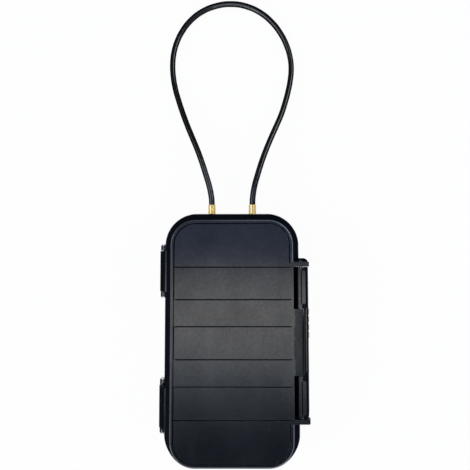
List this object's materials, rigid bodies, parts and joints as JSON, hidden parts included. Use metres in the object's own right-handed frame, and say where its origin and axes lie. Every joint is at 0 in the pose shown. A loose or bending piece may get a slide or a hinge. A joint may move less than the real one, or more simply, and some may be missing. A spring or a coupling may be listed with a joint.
{
  "type": "portable beach safe",
  "caption": "Flat plastic lock box on its back: ribbed hinged lid, side latch with combination dials, and a coated steel cable loop from the end wall.",
  "frame": {"origin": "on the surface the safe lies on, under the middle of the box without its cable", "axes": "+Z out of the lid, +Y along the case towards the cable, +X across it towards the latch"},
  "size_m": [0.123, 0.4026, 0.05],
  "materials": {
    "shell": "satin",
    "dark_plastic": "matte",
    "dial": "satin",
    "steel": "brushed",
    "brass": "satin",
    "seal_rubber": "matte",
    "cable_vinyl": "gloss"
  },
  "bodies": {
    "case_base": {"base_shell": "shell", "hinge_pin_upper": "steel", "hinge_pin_lower": "steel", "keeper": "steel", "keeper_screws": "steel", "cable": "cable_vinyl", "cable_ferrule_left": "brass", "cable_ferrule_right": "brass", "ferrule_nuts": "brass", "cable_stops": "steel"},
    "lid": {"lid_shell": "shell", "lid_seal": "seal_rubber", "latch_pin": "steel"},
    "latch": {"latch_body": "shell", "lock_cover": "dark_plastic", "cover_screws": "steel", "detent_spring": "steel"},
    "lock_bolt": {"lock_rod": "steel", "thumb_slide": "dark_plastic"},
    "dial_1": {"dial_1": "dial"},
    "dial_2": {"dial_2": "dial"},
    "dial_3": {"dial_3": "dial"},
    "dial_4": {"dial_4": "dial"}
  },
  "joints": [
    {"name": "lid_hinge", "type": "hinge", "parent": "case_base", "child": "lid", "pos_m": [-0.0584, 0, 0.0285], "axis": [0, -1, 0], "range_deg": [0, 135]},
    {"name": "latch_hinge", "type": "hinge", "parent": "lid", "child": "latch", "pos_m": [0.052, 0, 0.046], "axis": [0, -1, 0], "range_deg": [0, 150]},
    {"name": "bolt_slide", "type": "slide", "parent": "latch", "child": "lock_bolt", "axis": [0, -1, 0], "range_m": [0, 0.0064]},
    {"name": "dial_1_turn", "type": "hinge", "parent": "latch", "child": "dial_1", "pos_m": [0.0553, 0.0207, 0.024], "axis": [0, 1, 0], "continuous": true},
    {"name": "dial_2_turn", "type": "hinge", "parent": "latch", "child": "dial_2", "pos_m": [0.0553, 0.0143, 0.024], "axis": [0, 1, 0], "continuous": true},
    {"name": "dial_3_turn", "type": "hinge", "parent": "latch", "child": "dial_3", "pos_m": [0.0553, 0.0079, 0.024], "axis": [0, 1, 0], "continuous": true},
    {"name": "dial_4_turn", "type": "hinge", "parent": "latch", "child": "dial_4", "pos_m": [0.0553, 0.0015, 0.024], "axis": [0, 1, 0], "continuous": true}
  ]
}
